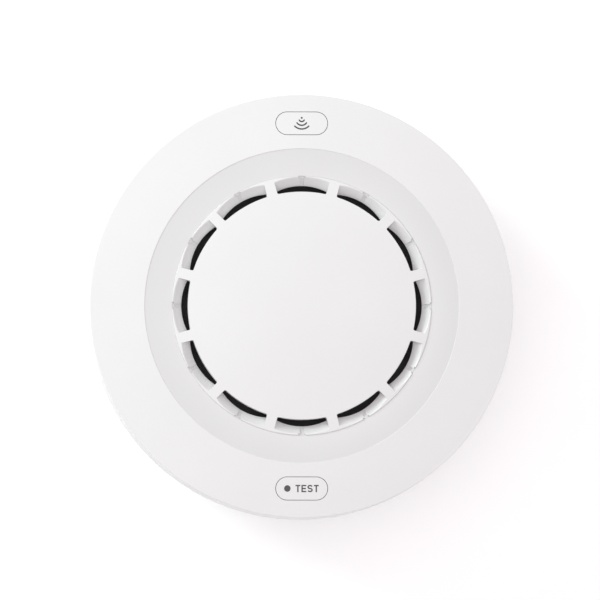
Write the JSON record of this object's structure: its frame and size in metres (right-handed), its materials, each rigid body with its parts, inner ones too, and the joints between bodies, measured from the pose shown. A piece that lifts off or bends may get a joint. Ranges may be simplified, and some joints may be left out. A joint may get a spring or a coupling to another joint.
{
  "type": "smoke detector",
  "caption": "Round white ceiling smoke detector: domed flange, low crowned vent hat with twelve scalloped slots, two push buttons, twist-on bracket, battery door.",
  "frame": {"origin": "centre of the mounting bracket's back face, on the ceiling or wall", "axes": "+Z out of the ceiling or wall into the room, through the vent hat; +Y to the pairing button, -Y to the test button; +X completes the right-handed frame"},
  "size_m": [0.12, 0.12, 0.0382],
  "materials": {
    "bracket_plastic": "fine matte moulded ABS",
    "housing_plastic": "fine matte moulded ABS",
    "door_plastic": "fine matte moulded ABS",
    "cover_plastic": "satin white moulded ABS",
    "hat_plastic": "satin white moulded ABS",
    "button_plastic": "satin white moulded ABS",
    "label_film": "matt polyester label",
    "cell_wrap": "printed sleeve over steel can",
    "nickel_strip": "nickel plated",
    "circuit_board": "solder mask over glass epoxy",
    "screw_steel": "zinc plated",
    "chamber_plastic": "fine matte black",
    "screen_wire": "blackened woven wire",
    "emitter_epoxy": "clear blue epoxy",
    "photodiode_epoxy": "dark infrared filter epoxy",
    "sounder_plastic": "matte black",
    "piezo_brass": "rolled",
    "piezo_ceramic": "silvered ceramic",
    "can_steel": "tinned sheet",
    "component_epoxy": "moulded epoxy",
    "capacitor_sleeve": "sleeved can",
    "coil_copper": "enamelled wire on ferrite",
    "led_epoxy": "clear epoxy",
    "light_guide": "smoke-tinted polycarbonate",
    "switch_body": "moulded nylon",
    "switch_stem": "moulded nylon"
  },
  "bodies": {
    "bracket": {"mounting_bracket": "bracket_plastic"},
    "head": {"rear_housing": "housing_plastic", "rating_label": "label_film", "battery_cell_1": "cell_wrap", "battery_cell_2": "cell_wrap", "battery_contacts": "nickel_strip", "battery_springs": "nickel_strip", "main_board": "circuit_board", "board_screws": "screw_steel", "housing_screws": "screw_steel", "front_cover": "cover_plastic", "vent_hat": "hat_plastic", "chamber_base": "chamber_plastic", "chamber_cover": "chamber_plastic", "insect_screen": "screen_wire", "infrared_emitter": "emitter_epoxy", "photodiode": "photodiode_epoxy", "sounder_housing": "sounder_plastic", "piezo_disc": "piezo_brass", "piezo_ceramic": "piezo_ceramic", "sounder_pins": "nickel_strip", "wireless_module": "circuit_board", "wireless_module_can": "can_steel", "microcontroller": "component_epoxy", "capacitor": "capacitor_sleeve", "sounder_coil": "coil_copper", "chip_components": "component_epoxy", "status_led": "led_epoxy", "test_switch": "switch_body", "pairing_switch": "switch_body"},
    "test_key": {"test_button": "button_plastic", "status_light_lens": "light_guide", "test_switch_stem": "switch_stem"},
    "pairing_key": {"pairing_button": "button_plastic", "pairing_switch_stem": "switch_stem"},
    "battery_door": {"battery_cover": "door_plastic"}
  },
  "joints": [
    {"name": "head_twist", "type": "hinge", "parent": "bracket", "child": "head", "pos_m": [0, 0, 0.006], "axis": [0, 0, 1], "range_deg": [0, 18]},
    {"name": "test_press", "type": "slide", "parent": "head", "child": "test_key", "axis": [0, 0, -1], "range_m": [0, 0.0006], "stiffness_N_per_m": 1200, "springref_m": -0.0006},
    {"name": "pairing_press", "type": "slide", "parent": "head", "child": "pairing_key", "axis": [0, 0, -1], "range_m": [0, 0.0006], "stiffness_N_per_m": 1200, "springref_m": -0.0006},
    {"name": "battery_door_slide", "type": "slide", "parent": "head", "child": "battery_door", "axis": [-1, 0, 0], "range_m": [0, 0.008]}
  ]
}
